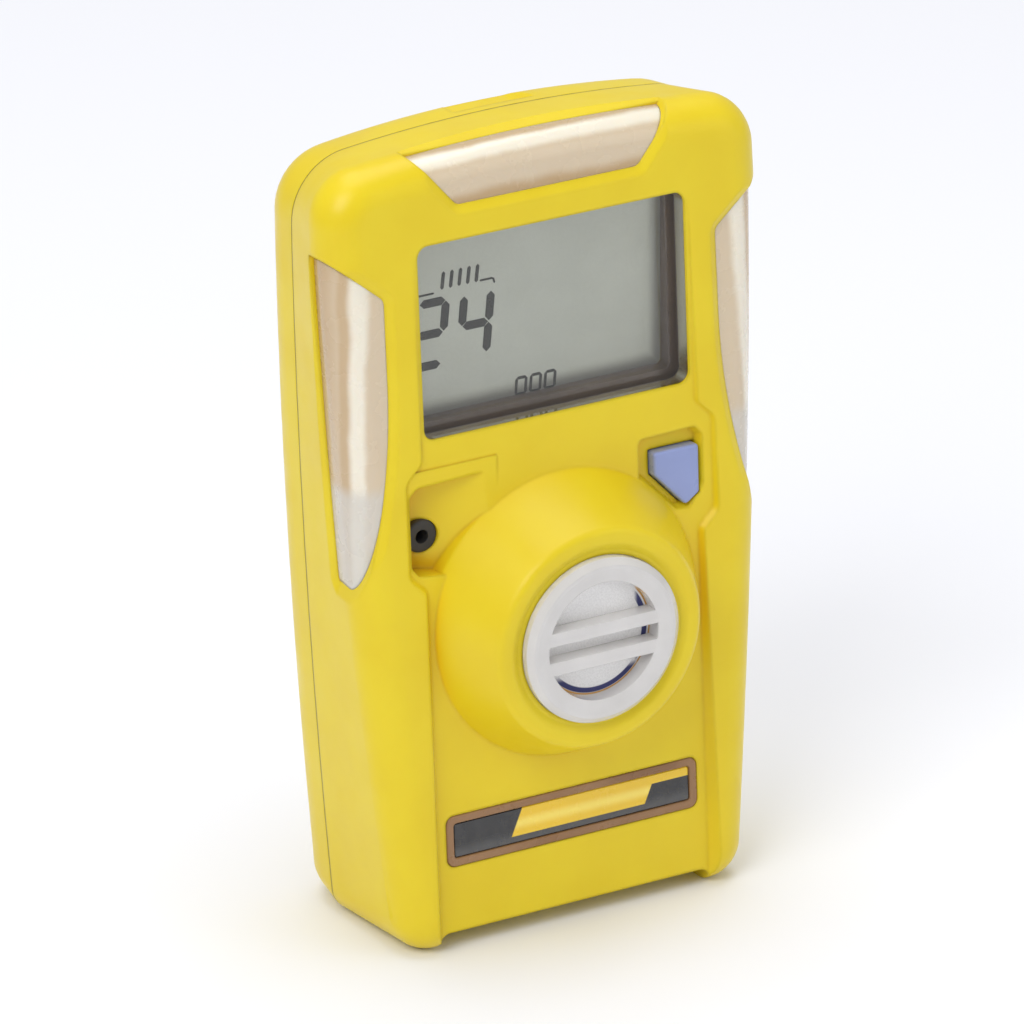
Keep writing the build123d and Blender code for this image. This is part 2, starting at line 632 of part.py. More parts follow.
with BuildPart() as battery_tabs:
    for side in (-1, 1):
        inner = side * (BATTERY_HALF + 0.01)
        outer = side * (BATTERY_HALF + 0.31)
        add(block(min(inner, outer), max(inner, outer), PCB_FRONT_Y, PCB_BACK_Y, 9, PCB_LOW_Z - 0.02))
battery_tabs.part.label = "battery_tabs"

with BuildPart() as battery_pad:
    add(block(-12, 12, BATTERY_Y + 5.2, BACK_Y - WALL - 0.02, BATTERY_Z - 4, BATTERY_Z + 4))
    with BuildSketch(Plane.YZ.offset(-14)):
        with Locations((BATTERY_Y, BATTERY_Z)):
            Circle(BATTERY_R + 0.02)
    extrude(amount=28, mode=Mode.SUBTRACT)
battery_pad.part.label = "battery_pad"


# ---------------------------------------------------------------- vibration motor
def cylinder_x(radius, x_low, x_high):
    """Cylinder along X on the motor axis."""
    with BuildPart() as solid:
        with BuildSketch(Plane.YZ.offset(x_low)):
            with Locations((MOTOR_Y, MOTOR_Z)):
                Circle(radius)
        extrude(amount=x_high - x_low)
    return solid.part


SHAFT_R = 0.4
with BuildPart() as vibration_motor:
    add(cylinder_x(MOTOR_R, 1.0, 9.0))
    fillet(vibration_motor.edges().filter_by(GeomType.CIRCLE), 0.3)
    add(cylinder_x(SHAFT_R + 0.05, 6.0, 10.0), mode=Mode.SUBTRACT)
vibration_motor.part.label = "vibration_motor"

with BuildPart() as motor_boot:
    add(block(2.2, 7.8, PCB_BACK_Y + 0.02, MOTOR_Y + 2.6, MOTOR_Z - 2.6, MOTOR_Z + 2.6))
    add(cylinder_x(MOTOR_R + 0.02, 0, 10), mode=Mode.SUBTRACT)
motor_boot.part.label = "motor_boot"

with BuildPart() as motor_shaft:
    add(cylinder_x(SHAFT_R, 6.1, 13.6))
motor_shaft.part.label = "motor_shaft"

with BuildPart() as motor_weight:
    add(cylinder_x(2.3, 10.2, 13.2))
    split(bisect_by=Plane.XY.offset(MOTOR_Z + 0.7), keep=Keep.BOTTOM)
    add(cylinder_x(SHAFT_R + 0.01, 10, 14), mode=Mode.SUBTRACT)
motor_weight.part.label = "motor_weight"

# ---------------------------------------------------------------- front label
with BuildPart() as label_frame:
    with BuildSketch(PANEL_PLANE.offset(-LABEL_DEPTH + 0.01)):
        with Locations((0, LABEL_Z)):
            RectangleRounded(LABEL_SIZE[0] - 0.1, LABEL_SIZE[1] - 0.1, LABEL_CORNER)
            RectangleRounded(LABEL_SIZE[0] - 2 * LABEL_BORDER, LABEL_SIZE[1] - 2 * LABEL_BORDER, 0.35,
                             mode=Mode.SUBTRACT)
    extrude(amount=LABEL_DEPTH + 0.1)
    fillet(label_frame.faces().sort_by(Axis.Y)[0].edges(), 0.2)
label_frame.part.label = "label_frame"

with BuildPart() as label_plate:
    with BuildSketch(PANEL_PLANE.offset(-LABEL_DEPTH + 0.01)):
        with Locations((0, LABEL_Z)):
            RectangleRounded(LABEL_SIZE[0] - 2 * LABEL_BORDER - 0.06, LABEL_SIZE[1] - 2 * LABEL_BORDER - 0.06,
                             0.32)
    extrude(amount=LABEL_DEPTH - 0.08)
    chamfer(label_plate.faces().sort_by(Axis.Y)[0].edges(), 0.12)
label_plate.part.label = "label_plate"

# ---------------------------------------------------------------- rear clip
PLATE_Y = BACK_Y + PLATE
EAR_OUTER = CLIP_HALF + 0.2 + EAR_THICK
PIVOT_AXIS_HALF = EAR_OUTER + 0.6


def cylinder_pivot(radius, x_low, x_high):
    """Cylinder along X on the clip's pivot."""
    with BuildPart() as solid:
        with BuildSketch(Plane.YZ.offset(x_low)):
            with Locations((PIVOT_Y, PIVOT_Z)):
                Circle(radius)
        extrude(amount=x_high - x_low)
    return solid.part


with BuildPart() as clip_base:
    with BuildSketch(front_plane(PLATE_Y)):
        with Locations((0, 40)):
            RectangleRounded(2 * EAR_OUTER, 42, 2.5)
        with Locations(*[(0, z) for z in CLIP_SCREWS_Z]):
            Circle(SCREW_R + 0.1, mode=Mode.SUBTRACT)
    extrude(amount=PLATE)
    for x in (-EAR_OUTER, EAR_OUTER - EAR_THICK):
        with BuildSketch(Plane.YZ.offset(x)):
            with Locations((PIVOT_Y, PIVOT_Z)):
                Circle(3.1)
            Polygon((BACK_Y + 0.5, PIVOT_Z - 6.5), (PIVOT_Y - 1, PIVOT_Z - 3.0), (PIVOT_Y - 1, PIVOT_Z + 3.0),
                    (BACK_Y + 0.5, PIVOT_Z + 6.5), align=None)
        extrude(amount=EAR_THICK)
    add(cylinder_pivot(PIN_R + 0.01, -12, 12), mode=Mode.SUBTRACT)
clip_base.part.label = "clip_base"

SPINE = [(20.0, 67.6), (19.5, 58), (19.0, 50), (18.2, 42), (13.2, 26.5), (11.3, 22.6)]
with BuildPart() as clip_lever:
    with BuildSketch(Plane.YZ.offset(-CLIP_HALF)):
        with BuildLine():
            FilletPolyline(*SPINE, radius=[20, 20, 14, 3])
        trace(line_width=PLATE)
    extrude(amount=2 * CLIP_HALF)
    for x in (-CLIP_HALF, CLIP_HALF - 0.9):
        with BuildSketch(Plane.YZ.offset(x)):
            with Locations((PIVOT_Y, PIVOT_Z)):
                Circle(2.5)
            Polygon((PIVOT_Y - 1.8, PIVOT_Z + 1.6), (PIVOT_Y - 1.5, PIVOT_Z - 2), (17.6, 44.2), (18.2, 44.2),
                    (18.9, 50), (19.4, 57), (18.8, 57), align=None)
        extrude(amount=0.9)
    add(cylinder_pivot(PIN_R + 0.05, -12, 12), mode=Mode.SUBTRACT)
    # teeth along the jaw
    for step in range(-2, 3):
        with BuildSketch(front_plane(16)):
            with Locations((step * 2.6 + 1.3, 22.1), (step * 2.6 - 1.3, 22.1)):
                RegularPolygon(0.75, 3)
        extrude(amount=6, mode=Mode.SUBTRACT)
clip_lever.part.label = "clip_lever"

with BuildPart() as clip_pin:
    add(cylinder_pivot(PIN_R, -EAR_OUTER - 0.1, EAR_OUTER + 0.1))
    for x in (-EAR_OUTER - 0.75, EAR_OUTER + 0.05):
        add(cylinder_pivot(1.9, x, x + 0.7))
clip_pin.part.label = "clip_pin"

COIL_HALF, COIL_MEAN_R, WIRE_R = 4.3, 2.15, 0.45
with BuildPart() as clip_spring:
    add(cylinder_pivot(COIL_MEAN_R + WIRE_R, -COIL_HALF, COIL_HALF))
    add(cylinder_pivot(COIL_MEAN_R - WIRE_R, -5, 5), mode=Mode.SUBTRACT)
    for x, start, end in ((-3.8, (PIVOT_Y - COIL_MEAN_R, PIVOT_Z), (PLATE_Y + 0.5, 38)),
                          (3.8, (PIVOT_Y + COIL_MEAN_R, PIVOT_Z), (18.45, 59.5))):
        with BuildLine() as leg:
            Line((x, *start), (x, *end))
        with BuildSketch(Plane(origin=leg.line @ 0, z_dir=leg.line % 0)):
            Circle(WIRE_R)
        sweep(path=leg.line)
clip_spring.part.label = "clip_spring"

with BuildPart() as clip_screws:
    for z in CLIP_SCREWS_Z:
        add(screw(0, z, PLATE_Y, 2.1, 0.9, 5.6))
clip_screws.part.label = "clip_screws"

with BuildPart() as rear_label:
    with BuildSketch(front_plane(BACK_Y + 0.15)):
        with Locations((0, 74)):
            RectangleRounded(28, 9, 1.2)
    extrude(amount=0.14)
rear_label.part.label = "rear_label"

# ---------------------------------------------------------------- write the parts
os.makedirs("parts", exist_ok=True)
PIECES = [front_shell, rear_shell, case_seal, case_screws, left_light_window, right_light_window,
          top_light_window, left_light_guide, right_light_guide, top_light_guide, display_lens,
          display_frame, lcd_glass, lcd_backlight, lcd_connectors, main_board, board_chips, alarm_leds,
          push_button, button_seal, button_switch, switch_plunger, sounder, sounder_ring, sensor_grille,
          sensor_filter, sensor_gasket, sensor_cell, sensor_pins, battery_cell, battery_tabs, battery_pad,
          vibration_motor, motor_boot, motor_shaft, motor_weight, label_frame, label_plate, clip_base,
          clip_lever, clip_pin, clip_spring, clip_screws, rear_label]
for piece in PIECES:
    export_step(piece.part, f"parts/{piece.part.label}.step")
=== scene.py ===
import math

import bmesh
import bpy
from mathutils import Matrix, Vector


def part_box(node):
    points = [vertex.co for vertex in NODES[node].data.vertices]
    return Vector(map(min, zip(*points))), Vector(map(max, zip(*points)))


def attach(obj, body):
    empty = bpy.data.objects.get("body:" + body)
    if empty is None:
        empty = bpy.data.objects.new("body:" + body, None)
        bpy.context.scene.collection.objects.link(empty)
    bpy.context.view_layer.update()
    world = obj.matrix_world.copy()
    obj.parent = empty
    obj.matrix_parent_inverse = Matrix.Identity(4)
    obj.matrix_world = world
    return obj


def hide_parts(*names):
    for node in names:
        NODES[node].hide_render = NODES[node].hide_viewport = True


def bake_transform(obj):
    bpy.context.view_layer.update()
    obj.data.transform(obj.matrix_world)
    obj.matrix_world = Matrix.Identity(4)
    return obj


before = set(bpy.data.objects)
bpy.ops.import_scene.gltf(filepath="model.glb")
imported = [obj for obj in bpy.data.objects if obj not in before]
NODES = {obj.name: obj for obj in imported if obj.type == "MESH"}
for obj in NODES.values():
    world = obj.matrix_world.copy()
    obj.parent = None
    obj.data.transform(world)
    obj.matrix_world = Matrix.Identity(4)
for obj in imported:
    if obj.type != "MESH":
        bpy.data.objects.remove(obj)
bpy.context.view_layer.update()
MM = 0.001


# ---------------------------------------------------------------- material helpers
class Shader:
    """A node material under construction; every pattern is in the row frame's metres."""

    def __init__(self, name):
        self.material = bpy.data.materials.new(name)
        self.material.use_nodes = True
        self.tree = self.material.node_tree
        self.nodes, self.links = self.tree.nodes, self.tree.links
        self.bsdf = self.nodes["Principled BSDF"]
        self.output = self.nodes["Material Output"]
        self.place = self.nodes.new("ShaderNodeTexCoord").outputs["Object"]

    def feed(self, socket, value):
        if isinstance(value, bpy.types.NodeSocket):
            self.links.new(value, socket)
        elif isinstance(value, (tuple, list)) and len(value) == 3 and socket.type == "RGBA":
            socket.default_value = (*value, 1.0)
        else:
            socket.default_value = value

    def math(self, kind, a, b=0.0, clamp=False):
        node = self.nodes.new("ShaderNodeMath")
        node.operation = kind
        node.use_clamp = clamp
        self.feed(node.inputs[0], a)
        self.feed(node.inputs[1], b)
        return node.outputs[0]

    def ramp(self, value, low, high, out_low=0.0, out_high=1.0):
        node = self.nodes.new("ShaderNodeMapRange")
        node.interpolation_type = "SMOOTHSTEP"
        for socket, item in zip(node.inputs[:5], (value, low, high, out_low, out_high)):
            self.feed(socket, item)
        return node.outputs[0]

    def axis(self, letter):
        node = self.nodes.new("ShaderNodeSeparateXYZ")
        self.links.new(self.place, node.inputs[0])
        return node.outputs[letter]

    def noise(self, size_mm, detail=3.0, stretch=(1, 1, 1)):
        mapping = self.nodes.new("ShaderNodeMapping")
        self.links.new(self.place, mapping.inputs["Vector"])
        mapping.inputs["Scale"].default_value = stretch
        node = self.nodes.new("ShaderNodeTexNoise")
        self.links.new(mapping.outputs[0], node.inputs["Vector"])
        node.inputs["Scale"].default_value = 1.0 / (size_mm * MM)
        node.inputs["Detail"].default_value = detail
        return node.outputs["Fac"]

    def mix(self, factor, a, b):
        node = self.nodes.new("ShaderNodeMix")
        node.data_type = "RGBA"
        self.feed(node.inputs[0], factor)
        self.feed(node.inputs[6], a)
        self.feed(node.inputs[7], b)
        return node.outputs[2]

    def edge_mask(self, radius_mm):
        """1 near the piece's edges, 0 on its flats."""
        bevel = self.nodes.new("ShaderNodeBevel")
        bevel.samples = 4
        bevel.inputs["Radius"].default_value = radius_mm * MM
        geometry = self.nodes.new("ShaderNodeNewGeometry")
        dot = self.nodes.new("ShaderNodeVectorMath")
        dot.operation = "DOT_PRODUCT"
        self.links.new(bevel.outputs[0], dot.inputs[0])
        self.links.new(geometry.outputs["Normal"], dot.inputs[1])
        return self.ramp(dot.outputs["Value"], 0.995, 0.93)

    def recess_shade(self, reach_mm):
        """Mask for painted shade: 1 deep in corners and under ledges, 0 on open faces."""
        node = self.nodes.new("ShaderNodeAmbientOcclusion")
        node.samples = 6
        node.only_local = True
        node.inputs["Distance"].default_value = reach_mm * MM
        return self.ramp(node.outputs["AO"], 0.85, 0.35)

    def bump(self, height, strength, distance_mm, soften_mm=0.0):
        node = self.nodes.new("ShaderNodeBump")
        self.feed(node.inputs["Height"], height)
        node.inputs["Strength"].default_value = strength
        node.inputs["Distance"].default_value = distance_mm * MM
        if soften_mm:
            bevel = self.nodes.new("ShaderNodeBevel")
            bevel.samples = 4
            bevel.inputs["Radius"].default_value = soften_mm * MM
            self.links.new(bevel.outputs[0], node.inputs["Normal"])
        self.links.new(node.outputs[0], self.bsdf.inputs["Normal"])

    def set(self, **values):
        names = {"color": "Base Color", "rough": "Roughness", "metal": "Metallic", "coat": "Coat Weight",
                 "coat_rough": "Coat Roughness", "sss": "Subsurface Weight", "spec": "Specular IOR Level",
                 "through": "Transmission Weight", "ior": "IOR", "alpha": "Alpha"}
        for key, value in values.items():
            self.feed(self.bsdf.inputs[names[key]], value)
        return self


def dress(names, material):
    """Gives the material to CAD nodes."""
    for name in names:
        mesh_object = NODES[name]
        for slot in mesh_object.material_slots:
            slot.material = material


def plastic(name, color, shade, rough, grain_mm=0.35, bump=0.1, soften=0.15, edge_wear_and_highlight=0.25):
    """Moulded plastic: faint colour drift, fine grain and slightly polished, paler edges that are partly wear
    and partly a painted edge highlight.
    """
    s = Shader(name)
    drift = s.ramp(s.noise(9, 4), 0.3, 0.7)
    base = s.mix(drift, color, shade)
    edge = s.edge_mask(0.3)
    paler = tuple(min(1.0, c * 1.25 + 0.03) for c in color)
    edge_patches = s.ramp(s.noise(1.6, 6), 0.45, 0.75)
    # paler edges: partly wear, partly a painted highlight along the edges
    base = s.mix(s.math("MULTIPLY", s.math("MULTIPLY", edge, edge_patches), edge_wear_and_highlight), base, paler)
    gloss = s.ramp(s.noise(4, 5), 0.25, 0.75, rough - 0.05, rough + 0.07)
    s.set(color=base, rough=gloss)
    s.bump(s.noise(grain_mm, 2), bump, 0.02, soften)
    return s


def metal(name, color, rough, stretch=(1, 1, 1), size_mm=0.6):
    """Drawn or brushed metal with fine lines along one direction."""
    s = Shader(name)
    lines = s.noise(size_mm, 5, stretch)
    base = s.mix(s.ramp(lines, 0.3, 0.7), tuple(c * 0.86 for c in color), color)
    smudge = s.ramp(s.noise(6, 3), 0.35, 0.75)
    base = s.mix(s.math("MULTIPLY", smudge, 0.18), base, tuple(c * 0.7 for c in color))
    s.set(color=base, metal=1.0, rough=s.ramp(lines, 0.2, 0.8, rough - 0.06, rough + 0.1))
    s.bump(lines, 0.12, 0.01, 0.12)
    return s


# ---------------------------------------------------------------- case
case = plastic("case_yellow", (0.80, 0.62, 0.014), (0.77, 0.58, 0.011), 0.34, grain_mm=0.3, bump=0.12,
               soften=0.6, edge_wear_and_highlight=0.3)
case.set(sss=0.08, coat=0.06, coat_rough=0.3, spec=0.35)
seam_gap = case.math("ABSOLUTE", case.math("SUBTRACT", case.axis("Y"), 0.5 * MM))
seam_mask = case.ramp(seam_gap, 0.14 * MM, 0.04 * MM)
case_color = case.bsdf.inputs["Base Color"].links[0].from_socket
# painted shade: orange tint in recesses and corners where shade falls
case_color = case.mix(case.math("MULTIPLY", case.recess_shade(3.0), 0.55), case_color, (0.80, 0.43, 0.008))
case.set(color=case.mix(case.math("MULTIPLY", seam_mask, 0.75), case_color, (0.22, 0.14, 0.01)))
case.bsdf.inputs["Subsurface Radius"].default_value = (0.004, 0.0025, 0.0005)
case.bsdf.inputs["Subsurface Scale"].default_value = 0.5
dress(["front_shell", "rear_shell"], case.material)


def frosted_window(name, way, band, ends):
    """Frosted diffuser wrapped round an edge: way is the distance across it, band its painted highlight line;
    painted shade darkens one end of the wrap and a strip beside the highlight.
    """
    s = Shader(name)
    z = s.axis("Z")
    across = s.math("ADD", s.math("ABSOLUTE", s.axis(way)), s.axis("Y"))
    cloud = s.math("MULTIPLY", s.math("SUBTRACT", s.noise(5, 3), 0.5), 1.2 * MM)
    across = s.math("ADD", across, cloud)
    # painted shade: darker towards one end of the wrap, where the surface turns from the light
    base = s.mix(s.ramp(across, ends[0] * MM, ends[1] * MM), (0.66, 0.54, 0.38), (0.50, 0.34, 0.17))
    # painted shade: dark strip beside the highlight band
    dark = s.ramp(s.math("ABSOLUTE", s.math("SUBTRACT", across, (band + 2.1) * MM)), 1.2 * MM, 0.2 * MM)
    base = s.mix(s.math("MULTIPLY", dark, 0.6), base, (0.50, 0.33, 0.15))
    # painted highlight: bright band of a softbox reflection along the curved window
    painted_highlight = s.ramp(s.math("ABSOLUTE", s.math("SUBTRACT", across, band * MM)), 1.7 * MM, 0.5 * MM)
    base = s.mix(s.math("MULTIPLY", painted_highlight, 0.85), base, (0.88, 0.83, 0.70))
    low = s.ramp(z, 53.4 * MM, 51.4 * MM)
    base = s.mix(s.math("MULTIPLY", low, 0.75), base, (0.62, 0.59, 0.53))
    s.set(color=base, rough=s.ramp(s.noise(2.5, 4), 0.3, 0.7, 0.2, 0.32), sss=0.25, coat=0.5,
          coat_rough=0.12)
    s.bsdf.inputs["Subsurface Radius"].default_value = (0.003, 0.0022, 0.0014)
    s.bsdf.inputs["Subsurface Scale"].default_value = 0.4
    s.bump(s.noise(0.5, 2), 0.06, 0.02, 0.25)
    return s.material


dress(["left_light_window", "right_light_window"], frosted_window("window_side", "X", 13.2, (14.0, 20.0)))
dress(["top_light_window"], frosted_window("window_top", "Z", 78.5, (74.0, 72.6)))
dress(["left_light_guide", "right_light_guide", "top_light_guide"],
      plastic("guide_clear", (0.85, 0.85, 0.82), (0.8, 0.8, 0.77), 0.2).material)


# ---------------------------------------------------------------- display
def clear_lens(name, tint, gloss):
    """Clear acrylic: sees straight through, with a soft reflection and faint dust."""
    s = Shader(name)
    clear = s.nodes.new("ShaderNodeBsdfTransparent")
    clear.inputs["Color"].default_value = (*tint, 1)
    shine = s.nodes.new("ShaderNodeBsdfGlossy")
    s.feed(shine.inputs["Roughness"], s.ramp(s.noise(3, 4), 0.3, 0.7, 0.05, 0.12))
    fresnel = s.nodes.new("ShaderNodeFresnel")
    fresnel.inputs["IOR"].default_value = 1.49
    dust = s.math("MULTIPLY", s.ramp(s.noise(0.5, 4), 0.62, 0.8), 0.05)
    blend = s.nodes.new("ShaderNodeMixShader")
    s.feed(blend.inputs[0], s.math("ADD", s.math("MULTIPLY", fresnel.outputs[0], gloss), dust, clamp=True))
    s.links.new(clear.outputs[0], blend.inputs[1])
    s.links.new(shine.outputs[0], blend.inputs[2])
    s.links.new(blend.outputs[0], s.output.inputs["Surface"])
    return s.material


dress(["display_lens"], clear_lens("lens_clear", (0.97, 0.97, 0.95), 0.8))
dress(["display_frame"], plastic("frame_brown", (0.20, 0.14, 0.11), (0.16, 0.11, 0.09), 0.5).material)

lcd = Shader("lcd_glass")
lcd_cloud = lcd.ramp(lcd.noise(7, 2), 0.3, 0.7)
lcd_base = lcd.mix(lcd_cloud, (0.74, 0.78, 0.74), (0.80, 0.84, 0.80))
lcd_dots = lcd.ramp(lcd.noise(0.25, 1), 0.4, 0.6)
lcd_base = lcd.mix(lcd.math("MULTIPLY", lcd_dots, 0.12), lcd_base, (0.56, 0.59, 0.55))
lcd_x, lcd_z = lcd.axis("X"), lcd.axis("Z")
# painted shadow: the display frame's shadow darkening the LCD's right and bottom edges
lcd_edge_shadow = lcd.math("MAXIMUM", lcd.ramp(lcd_x, 13.6 * MM, 15.0 * MM), lcd.ramp(lcd_z, 59.4 * MM, 57.7 * MM))
lcd_base = lcd.mix(lcd.math("MULTIPLY", lcd_edge_shadow, 0.75), lcd_base, (0.16, 0.15, 0.135))
lcd.set(color=lcd_base, rough=lcd.ramp(lcd_cloud, 0, 1, 0.28, 0.36), coat=0.6, coat_rough=0.1)
lcd.bump(lcd.noise(0.4, 2), 0.04, 0.01)
dress(["lcd_glass"], lcd.material)
dress(["lcd_backlight"], plastic("backlight_white", (0.8, 0.8, 0.77), (0.74, 0.74, 0.7), 0.5).material)
dress(["lcd_connectors"], plastic("zebra_strip", (0.10, 0.10, 0.11), (0.2, 0.2, 0.2), 0.7).material)

# ---------------------------------------------------------------- button, rubbers, small plastics
# the pale rim along the button's edges is partly wear and partly a painted highlight
dress(["push_button"], plastic("button_blue", (0.30, 0.36, 0.66), (0.26, 0.32, 0.60), 0.3, edge_wear_and_highlight=0.6).material)
rubber = plastic("rubber_black", (0.025, 0.025, 0.028), (0.045, 0.045, 0.05), 0.6, grain_mm=0.5, bump=0.3)
dress(["case_seal", "sounder_ring", "sensor_gasket", "battery_pad"], rubber.material)
silicone = plastic("silicone_grey", (0.22, 0.22, 0.23), (0.28, 0.28, 0.29), 0.55)
dress(["button_seal", "motor_boot"], silicone.material)
dark = plastic("moulded_black", (0.03, 0.03, 0.032), (0.05, 0.05, 0.052), 0.4)
dress(["sounder", "board_chips", "button_switch"], dark.material)
dress(["switch_plunger"], plastic("plunger_white", (0.8, 0.8, 0.77), (0.7, 0.7, 0.68), 0.4).material)
dress(["sensor_cell"], plastic("cell_grey", (0.42, 0.43, 0.45), (0.48, 0.49, 0.5), 0.45).material)

# ---------------------------------------------------------------- sensor port
grille = Shader("grille_clear")
grille_cloud = grille.ramp(grille.noise(4, 3), 0.3, 0.7)
grille_base = grille.mix(grille_cloud, (0.88, 0.86, 0.84), (0.94, 0.92, 0.90))
grille.set(color=grille_base, rough=grille.ramp(grille.noise(2, 4), 0.3, 0.7, 0.1, 0.2), through=0.35,
           ior=1.49, coat=0.6, coat_rough=0.06)
grille.bump(grille.noise(0.6, 2), 0.08, 0.02, 0.15)
dress(["sensor_grille"], grille.material)

membrane = Shader("filter_white")
weave = membrane.noise(0.18, 3)
mx = membrane.axis("X")
mz = membrane.math("SUBTRACT", membrane.axis("Z"), 34.3 * MM)
mx_squared = membrane.math("MULTIPLY", mx, mx)
mz_squared = membrane.math("MULTIPLY", mz, mz)
radius = membrane.math("SQRT", membrane.math("ADD", mx_squared, mz_squared))


def ring_arc(low, high, side):
    """Ring between two radii in millimetres, kept where side is 1."""
    ring = membrane.math("MULTIPLY", membrane.ramp(radius, (low - 0.12) * MM, low * MM),
                         membrane.ramp(radius, (high + 0.12) * MM, high * MM))
    return membrane.math("MULTIPLY", ring, side)


low_side = membrane.ramp(mz, -3.6 * MM, -4.6 * MM)
right_side = membrane.ramp(mx, 4.6 * MM, 5.2 * MM)
cloth = membrane.mix(membrane.ramp(weave, 0.3, 0.7), (0.80, 0.79, 0.78), (0.90, 0.89, 0.88))
# painted shade: dark blue arcs at the low and right inner edges of the grille openings
blue_arc = membrane.math("MAXIMUM", ring_arc(5.9, 6.35, low_side), ring_arc(5.7, 6.2, right_side))
cloth = membrane.mix(blue_arc, cloth, (0.045, 0.05, 0.16))
# painted reflection: amber arcs where the clear grille's opening walls pick up the yellow case
amber_arc = ring_arc(6.5, 7.3, membrane.math("MAXIMUM", low_side, right_side))
cloth = membrane.mix(amber_arc, cloth, (0.62, 0.33, 0.07))
membrane.set(color=cloth,
             rough=membrane.ramp(weave, 0, 1, 0.75, 0.9))
membrane.bump(weave, 0.5, 0.05)
dress(["sensor_filter"], membrane.material)

# ---------------------------------------------------------------- label
# the frame's pale edges are partly wear and partly a painted highlight
copper = plastic("label_frame_brown", (0.24, 0.12, 0.05), (0.31, 0.17, 0.08), 0.28, edge_wear_and_highlight=0.9)
dress(["label_frame"], copper.material)

plate = Shader("label_plate")
px, pz = plate.axis("X"), plate.axis("Z")
lean = plate.math("SUBTRACT", px, plate.math("MULTIPLY", pz, 0.46))
left_edge = plate.ramp(lean, -12.55 * MM, -12.4 * MM)
right_edge = plate.ramp(lean, 3.9 * MM, 3.75 * MM)
low_edge = plate.ramp(pz, 10.93 * MM, 11.03 * MM)
strip = plate.ramp(pz, 13.0 * MM, 13.08 * MM)
band_corner = plate.math("MULTIPLY", left_edge, low_edge)
band = plate.math("MULTIPLY", band_corner, plate.math("MAXIMUM", right_edge, strip))
ink = plate.mix(plate.ramp(plate.noise(1.2, 4), 0.3, 0.7), (0.010, 0.010, 0.012), (0.022, 0.022, 0.024))
ink = plate.mix(plate.ramp(pz, 11.9 * MM, 10.4 * MM, 0.0, 0.35), ink, (0.16, 0.16, 0.16))
# painted highlight: the yellow band is lighter along its middle
painted_highlight = plate.ramp(plate.math("ABSOLUTE", plate.math("SUBTRACT", pz, 12.35 * MM)), 0.9 * MM, 0.0)
yellow = plate.mix(painted_highlight, (0.84, 0.55, 0.012), (0.95, 0.74, 0.12))
plate.set(color=plate.mix(band, ink, yellow), rough=plate.ramp(plate.noise(2, 4), 0.3, 0.7, 0.18, 0.3),
          coat=0.5, coat_rough=0.1)
plate.bump(plate.noise(0.5, 3), 0.08, 0.02, 0.1)
dress(["label_plate"], plate.material)

# ---------------------------------------------------------------- electronics
board = Shader("board_green")
tracks = board.ramp(board.noise(2.2, 1, (1, 1, 3)), 0.49, 0.51)
board.set(color=board.mix(tracks, (0.012, 0.10, 0.04), (0.02, 0.15, 0.06)),
          rough=board.ramp(tracks, 0, 1, 0.3, 0.4), coat=0.4)
board.bump(tracks, 0.2, 0.03)
dress(["main_board"], board.material)
dress(["alarm_leds"], plastic("led_red", (0.55, 0.05, 0.04), (0.62, 0.10, 0.08), 0.2).material)
dress(["battery_cell"], plastic("battery_wrap", (0.06, 0.16, 0.09), (0.08, 0.2, 0.11), 0.3).material)
dress(["sensor_pins"], metal("pin_gold", (0.85, 0.62, 0.25), 0.25).material)
dress(["battery_tabs"], metal("nickel", (0.72, 0.70, 0.66), 0.28).material)
dress(["vibration_motor", "motor_shaft"], metal("motor_steel", (0.66, 0.66, 0.67), 0.3, (0.2, 1, 1)).material)
dress(["motor_weight"], metal("weight_grey", (0.36, 0.36, 0.37), 0.5).material)

# ---------------------------------------------------------------- clip and fasteners
clip_steel = metal("clip_steel", (0.70, 0.70, 0.71), 0.3, (0.08, 1, 1), 0.35)
dress(["clip_base", "clip_lever"], clip_steel.material)
dress(["clip_pin", "clip_screws", "case_screws"], metal("screw_steel", (0.62, 0.62, 0.63), 0.32).material)
spring = metal("spring_wire", (0.5, 0.5, 0.51), 0.35)
dress(["clip_spring"], spring.material)
paper = plastic("label_film", (0.70, 0.71, 0.69), (0.76, 0.77, 0.75), 0.45, bump=0.05)
dress(["rear_label"], paper.material)


# ---------------------------------------------------------------- display figures
def new_piece(name, material):
    """Empty mesh piece with one material, linked into the scene."""
    mesh = bpy.data.meshes.new(name)
    obj = bpy.data.objects.new(name, mesh)
    bpy.context.scene.collection.objects.link(obj)
    mesh.materials.append(material)
    return obj


def finish_piece(obj, bm):
    """Writes the built faces into the piece, which rides on the case."""
    bmesh.ops.recalc_face_normals(bm, faces=bm.faces)
    bm.to_mesh(obj.data)
    bm.free()
    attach(obj, "case")


def slab(bm, outline, y, thick):
    """Thin upright plate from (x, z) points in millimetres, standing proud of depth y towards the front."""
    back = [bm.verts.new((x * MM, y * MM, z * MM)) for x, z in outline]
    front = [bm.verts.new((x * MM, (y - thick) * MM, z * MM)) for x, z in outline]
    bm.faces.new(back)
    bm.faces.new(front)
    for i in range(len(outline)):
        j = (i + 1) % len(outline)
        bm.faces.new((back[i], back[j], front[j], front[i]))


def stroke(bm, start, end, width, y):
    """Straight bar with pointed ends between two (x, z) points."""
    a, b = Vector(start), Vector(end)
    along = (b - a).normalized() * width / 2
    side = Vector((-along.y, along.x))
    outline = [a, a + along + side, b - along + side, b, b - along - side, a + along - side]
    slab(bm, [tuple(p) for p in outline], y, 0.03)


